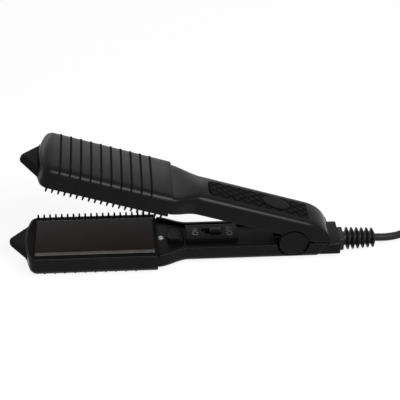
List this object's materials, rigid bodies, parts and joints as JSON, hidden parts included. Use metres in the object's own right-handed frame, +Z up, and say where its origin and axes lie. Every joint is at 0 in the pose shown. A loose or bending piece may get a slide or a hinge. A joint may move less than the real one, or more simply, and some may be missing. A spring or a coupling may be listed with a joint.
{
  "type": "mini hair straightener",
  "caption": "Small folding hair straightener with two comb covers, pointed cool tips, dark ceramic plates, a textured grip pad, a slide switch and a tied cord with a flat plug.",
  "frame": {"origin": "middle of the underside of the appliance without its free cord, on the table that it lies on", "axes": "+X along the lower arm towards the cord, +Y to the side away from the upper arm's teeth, +Z up"},
  "size_m": [0.4013, 0.0506, 0.0825],
  "materials": {
    "shell_gloss": "satin moulded",
    "inner_matte": "fine spark texture",
    "ceramic_coat": "smooth ceramic coat",
    "heater_ceramic": "fired ceramic",
    "mica": "layered sheet",
    "steel": "plain",
    "switch_case": "moulded",
    "lamp_white": "milky clear",
    "wire_sleeve": "braided glass sleeve",
    "grip_rubber": "soft, diamond lattice",
    "cord_jacket": "soft satin",
    "tie_band": "matte",
    "plug_metal": "plated"
  },
  "bodies": {
    "lower_arm": {"lower_shell": "shell_gloss", "lower_inner_cover": "inner_matte", "lower_plate_frame": "inner_matte", "lower_nose": "shell_gloss", "lower_comb_cover": "shell_gloss", "lower_plate": "ceramic_coat", "lower_heater": "heater_ceramic", "lower_mica": "mica", "lower_heater_clip": "steel", "thermal_fuse": "heater_ceramic", "lower_screws": "steel", "lower_wires": "wire_sleeve", "switch_body": "switch_case", "indicator_lens": "lamp_white", "indicator_led": "lamp_white", "hinge_pin": "steel", "hinge_spring": "steel", "cord_outlet": "shell_gloss", "strain_relief": "cord_jacket", "cord_inner": "cord_jacket", "cord_clamp": "inner_matte", "clamp_screws": "steel", "cord_run": "cord_jacket", "cord_hank": "cord_jacket", "cord_tail": "cord_jacket", "cord_tie": "tie_band", "plug_body": "cord_jacket", "plug_pins": "plug_metal"},
    "upper_arm": {"upper_shell": "shell_gloss", "upper_inner_cover": "inner_matte", "upper_plate_frame": "inner_matte", "upper_nose": "shell_gloss", "upper_comb_cover": "shell_gloss", "upper_plate": "ceramic_coat", "upper_heater": "heater_ceramic", "upper_mica": "mica", "upper_heater_clip": "steel", "upper_screws": "steel", "upper_wires": "wire_sleeve", "grip_pad": "grip_rubber", "grip_badge": "inner_matte", "hinge_cap_near": "shell_gloss", "hinge_cap_far": "shell_gloss"},
    "slider": {"switch_knob": "inner_matte"}
  },
  "joints": [
    {"name": "arm_hinge", "type": "hinge", "parent": "lower_arm", "child": "upper_arm", "pos_m": [0.0617, 0, 0.01415], "axis": [0, -1, 0], "range_deg": [0, 18.4], "stiffness_Nm_per_rad": 0.6, "springref_deg": -14.32, "deforming": ["hinge_spring"]},
    {"name": "switch_slide", "type": "slide", "parent": "lower_arm", "child": "slider", "axis": [-1, 0, 0], "range_m": [0, 0.005]}
  ]
}
